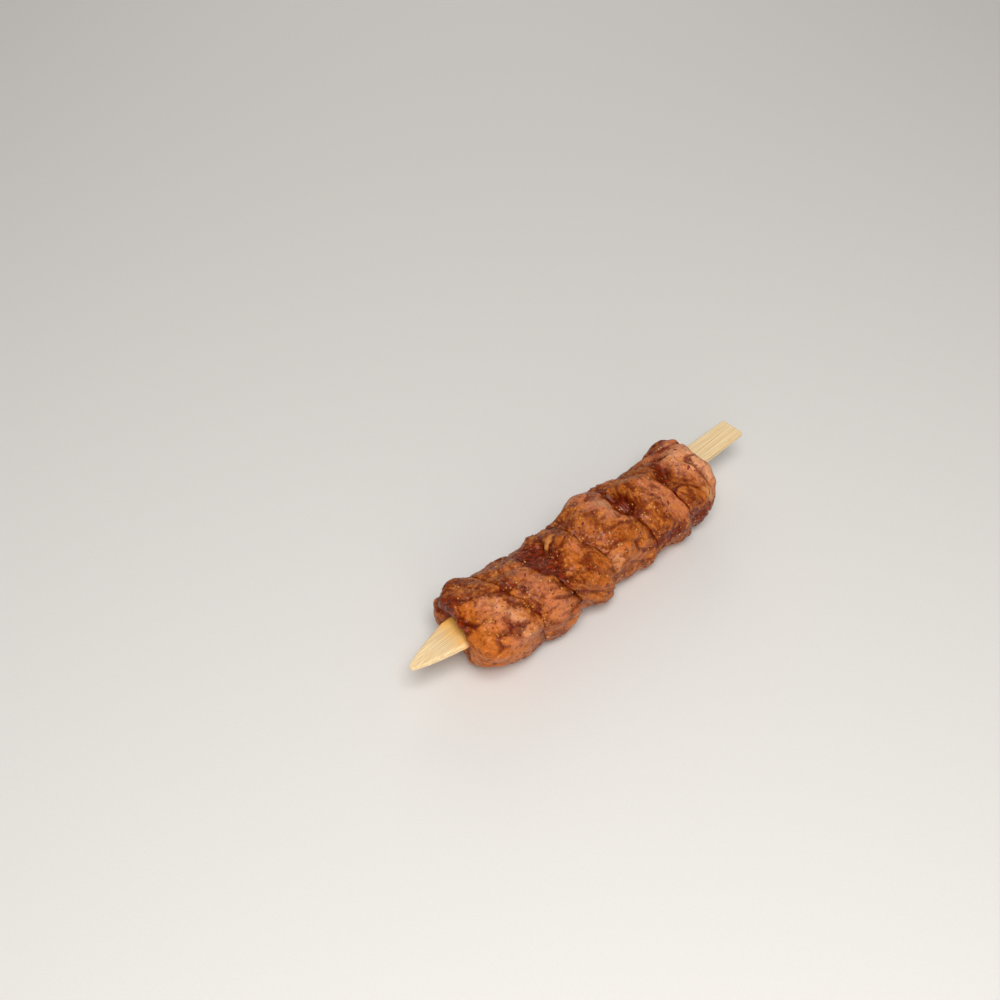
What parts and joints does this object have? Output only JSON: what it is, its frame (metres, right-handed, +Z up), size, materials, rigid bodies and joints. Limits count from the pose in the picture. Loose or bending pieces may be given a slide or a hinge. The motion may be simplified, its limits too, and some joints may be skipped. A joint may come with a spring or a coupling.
{
  "type": "lamb kebab skewer",
  "caption": "Raw marinated lamb kebab: uneven chunks of spiced lamb pressed together on a flat pointed wooden skewer, lying on its side.",
  "frame": {"origin": "under the middle of the whole kebab, on the flat surface that it lies on", "axes": "+X along the skewer from its point to its square end, +Z up from the surface, +Y across the kebab, with the skewer's wide faces level"},
  "size_m": [0.2, 0.0472, 0.041],
  "materials": {
    "bamboo": "matte",
    "lamb": "satin",
    "fat": "satin",
    "chilli": "satin",
    "seed": "satin",
    "herb": "matte"
  },
  "bodies": {
    "root": {"skewer": "bamboo", "lamb_1": "lamb", "lamb_2": "lamb", "lamb_3": "lamb", "lamb_4": "lamb", "lamb_5": "lamb", "lamb_6": "lamb"}
  },
  "joints": []
}
